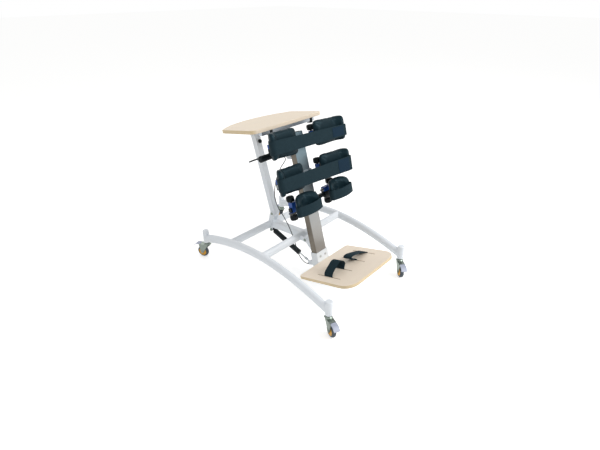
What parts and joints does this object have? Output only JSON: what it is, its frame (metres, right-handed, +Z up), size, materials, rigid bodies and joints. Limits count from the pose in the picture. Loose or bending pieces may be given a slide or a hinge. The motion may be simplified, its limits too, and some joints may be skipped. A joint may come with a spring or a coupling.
{
  "type": "tilting standing frame",
  "caption": "Tilting standing frame on braked casters, with a footplate, knee, hip and chest supports with straps, and a sloping work table.",
  "frame": {"origin": "on the floor, below the middle of the outline", "axes": "+Z up, +Y from the footplate to the table, +X to the user's right"},
  "size_m": [0.8064, 1.2266, 0.9534],
  "materials": {
    "white_powder_coat": "smooth satin powder coat on steel tube",
    "zinc_steel": "bright zinc plate",
    "tyre_rubber": "smooth blue-grey rubber tread on an amber hub",
    "lilac_steel": "pressed steel, lilac grey",
    "stainless_steel": "polished stainless tube",
    "bright_steel": "bright plated steel",
    "beech": "pale lacquered board with bare wooden edge",
    "black_plastic": "fine moulded grain",
    "black_paint": "satin black paint",
    "rail_aluminium": "plain anodised",
    "blue_plastic": "moulded, slightly glossy",
    "pad_foam": "smooth black upholstery over foam",
    "webbing": "woven black webbing with a hook-and-loop end"
  },
  "bodies": {
    "base": {"rail_left": "white_powder_coat", "rail_right": "white_powder_coat", "crossbar_front": "white_powder_coat", "crossbar_rear": "white_powder_coat", "spine_tube": "white_powder_coat", "column_pivot_bolt": "zinc_steel", "mast_pivot_bolt": "zinc_steel"},
    "column": {"column_tube": "stainless_steel", "column_bracket": "white_powder_coat", "carrier_lug": "white_powder_coat", "foot_bracket": "white_powder_coat", "footplate_board": "beech", "footplate_tray": "white_powder_coat", "foot_strap_left": "webbing", "foot_strap_right": "webbing", "handle_left": "bright_steel", "handle_right": "bright_steel", "grip_left": "black_plastic", "grip_right": "black_plastic", "release_cable": "black_plastic"},
    "lever": {"release_lever": "bright_steel"},
    "mast": {"mast_tube": "white_powder_coat"},
    "mast_lock": {"mast_knob": "black_plastic"},
    "carrier": {"table_carrier": "white_powder_coat", "table_board": "beech", "table_rail": "rail_aluminium"},
    "spring_body": {"spring_cylinder": "black_paint"},
    "spring_piston": {"spring_rod": "bright_steel"},
    "caster_front_left": {"caster_fork_front_left": "zinc_steel"},
    "wheel_front_left": {"caster_wheel_front_left": "tyre_rubber"},
    "brake_front_left": {"brake_pedal_front_left": "lilac_steel"},
    "caster_front_right": {"caster_fork_front_right": "zinc_steel"},
    "wheel_front_right": {"caster_wheel_front_right": "tyre_rubber"},
    "brake_front_right": {"brake_pedal_front_right": "lilac_steel"},
    "caster_rear_left": {"caster_fork_rear_left": "zinc_steel"},
    "wheel_rear_left": {"caster_wheel_rear_left": "tyre_rubber"},
    "brake_rear_left": {"brake_pedal_rear_left": "lilac_steel"},
    "caster_rear_right": {"caster_fork_rear_right": "zinc_steel"},
    "wheel_rear_right": {"caster_wheel_rear_right": "tyre_rubber"},
    "brake_rear_right": {"brake_pedal_rear_right": "lilac_steel"},
    "chest": {"chest_carriage": "black_paint"},
    "chest_left": {"chest_slider_left": "blue_plastic", "chest_pad_left": "pad_foam", "chest_strap": "webbing"},
    "chest_right": {"chest_slider_right": "blue_plastic", "chest_pad_right": "pad_foam"},
    "hip": {"hip_carriage": "black_paint"},
    "hip_left": {"hip_slider_left": "blue_plastic", "hip_pad_left": "pad_foam", "hip_strap": "webbing"},
    "hip_right": {"hip_slider_right": "blue_plastic", "hip_pad_right": "pad_foam"},
    "knee": {"knee_carriage": "black_paint"},
    "knee_left": {"knee_slider_left": "blue_plastic", "knee_cup_left": "pad_foam", "knee_strap_left": "webbing"},
    "knee_right": {"knee_slider_right": "blue_plastic", "knee_cup_right": "pad_foam", "knee_strap_right": "webbing"}
  },
  "joints": [
    {"name": "tilt", "type": "hinge", "parent": "base", "child": "column", "pos_m": [0, -0.079, 0.24271], "axis": [-1, 0, 0], "range_deg": [-16, 12]},
    {"name": "mast_tilt", "type": "hinge", "parent": "base", "child": "mast", "pos_m": [0, 0.2275, 0.30348], "axis": [-1, 0, 0], "range_deg": [-16.5, 12.5]},
    {"name": "carrier_tilt", "type": "hinge", "parent": "column", "child": "carrier", "pos_m": [0, 0.0736, 0.73416], "axis": [-1, 0, 0], "range_deg": [-12.5, 16.5]},
    {"name": "spring_swing", "type": "hinge", "parent": "base", "child": "spring_body", "pos_m": [0, 0.252, 0.17108], "axis": [-1, 0, 0], "range_deg": [-3.13, 2.42]},
    {"name": "spring_stroke", "type": "slide", "parent": "spring_body", "child": "spring_piston", "axis": [0, -0.9493, -0.3144], "range_m": [-0.0492, 0.0371]},
    {"name": "swivel_front_left", "type": "hinge", "parent": "base", "child": "caster_front_left", "pos_m": [-0.35, -0.519, 0.1085], "axis": [0, 0, 1], "continuous": true},
    {"name": "roll_front_left", "type": "hinge", "parent": "caster_front_left", "child": "wheel_front_left", "pos_m": [-0.36368, -0.55122, 0.0385], "axis": [0.9205, -0.3907, 0], "continuous": true},
    {"name": "press_front_left", "type": "hinge", "parent": "caster_front_left", "child": "brake_front_left", "pos_m": [-0.36954, -0.56503, 0.094], "axis": [0.9205, -0.3907, 0], "range_deg": [0, 15]},
    {"name": "swivel_front_right", "type": "hinge", "parent": "base", "child": "caster_front_right", "pos_m": [0.35, -0.519, 0.1085], "axis": [0, 0, 1], "continuous": true},
    {"name": "roll_front_right", "type": "hinge", "parent": "caster_front_right", "child": "wheel_front_right", "pos_m": [0.3275, -0.54581, 0.0385], "axis": [0.766, -0.6428, 0], "continuous": true},
    {"name": "press_front_right", "type": "hinge", "parent": "caster_front_right", "child": "brake_front_right", "pos_m": [0.31786, -0.5573, 0.094], "axis": [0.766, -0.6428, 0], "range_deg": [0, 15]},
    {"name": "swivel_rear_left", "type": "hinge", "parent": "base", "child": "caster_rear_left", "pos_m": [-0.35, 0.519, 0.1085], "axis": [0, 0, 1], "continuous": true},
    {"name": "roll_rear_left", "type": "hinge", "parent": "caster_rear_left", "child": "wheel_rear_left", "pos_m": [-0.36368, 0.55122, 0.0385], "axis": [-0.9205, -0.3907, 0], "continuous": true},
    {"name": "press_rear_left", "type": "hinge", "parent": "caster_rear_left", "child": "brake_rear_left", "pos_m": [-0.36954, 0.56503, 0.094], "axis": [-0.9205, -0.3907, 0], "range_deg": [0, 15]},
    {"name": "swivel_rear_right", "type": "hinge", "parent": "base", "child": "caster_rear_right", "pos_m": [0.35, 0.519, 0.1085], "axis": [0, 0, 1], "continuous": true},
    {"name": "roll_rear_right", "type": "hinge", "parent": "caster_rear_right", "child": "wheel_rear_right", "pos_m": [0.36368, 0.55122, 0.0385], "axis": [-0.9205, 0.3907, 0], "continuous": true},
    {"name": "press_rear_right", "type": "hinge", "parent": "caster_rear_right", "child": "brake_rear_right", "pos_m": [0.36954, 0.56503, 0.094], "axis": [-0.9205, 0.3907, 0], "range_deg": [0, 15]},
    {"name": "squeeze", "type": "hinge", "parent": "column", "child": "lever", "pos_m": [-0.1, 0.04814, 0.79402], "axis": [0, 0.2756, 0.9613], "range_deg": [0, 6], "stiffness_Nm_per_rad": 2},
    {"name": "mast_lock_turn", "type": "hinge", "parent": "mast", "child": "mast_lock", "pos_m": [0, 0.34737, 0.75798], "axis": [0, 0.955, -0.2965], "continuous": true},
    {"name": "chest_lift", "type": "slide", "parent": "column", "child": "chest", "axis": [0, 0.2756, 0.9613], "range_m": [0, 0.01]},
    {"name": "chest_left_slide", "type": "slide", "parent": "chest", "child": "chest_left", "axis": [1, 0, 0], "range_m": [-0.004, 0.02]},
    {"name": "chest_right_slide", "type": "slide", "parent": "chest", "child": "chest_right", "axis": [-1, 0, 0], "range_m": [-0.012, 0.02]},
    {"name": "hip_lift", "type": "slide", "parent": "column", "child": "hip", "axis": [0, 0.2756, 0.9613], "range_m": [-0.002, 0.03]},
    {"name": "hip_left_slide", "type": "slide", "parent": "hip", "child": "hip_left", "axis": [1, 0, 0], "range_m": [-0.004, 0.02]},
    {"name": "hip_right_slide", "type": "slide", "parent": "hip", "child": "hip_right", "axis": [-1, 0, 0], "range_m": [-0.012, 0.02]},
    {"name": "knee_lift", "type": "slide", "parent": "column", "child": "knee", "axis": [0, 0.2756, 0.9613], "range_m": [-0.05, 0]},
    {"name": "knee_left_slide", "type": "slide", "parent": "knee", "child": "knee_left", "axis": [1, 0, 0], "range_m": [-0.01, 0.02]},
    {"name": "knee_right_slide", "type": "slide", "parent": "knee", "child": "knee_right", "axis": [-1, 0, 0], "range_m": [-0.01, 0.02]}
  ],
  "couplings": [
    {"joint": "mast_tilt", "follows": "tilt", "ratio": 1},
    {"joint": "carrier_tilt", "follows": "tilt", "ratio": -1},
    {"joint": "spring_swing", "follows": "tilt", "ratio": 0.1768},
    {"joint": "spring_stroke", "follows": "tilt", "m_per_rad": 0.1726}
  ]
}
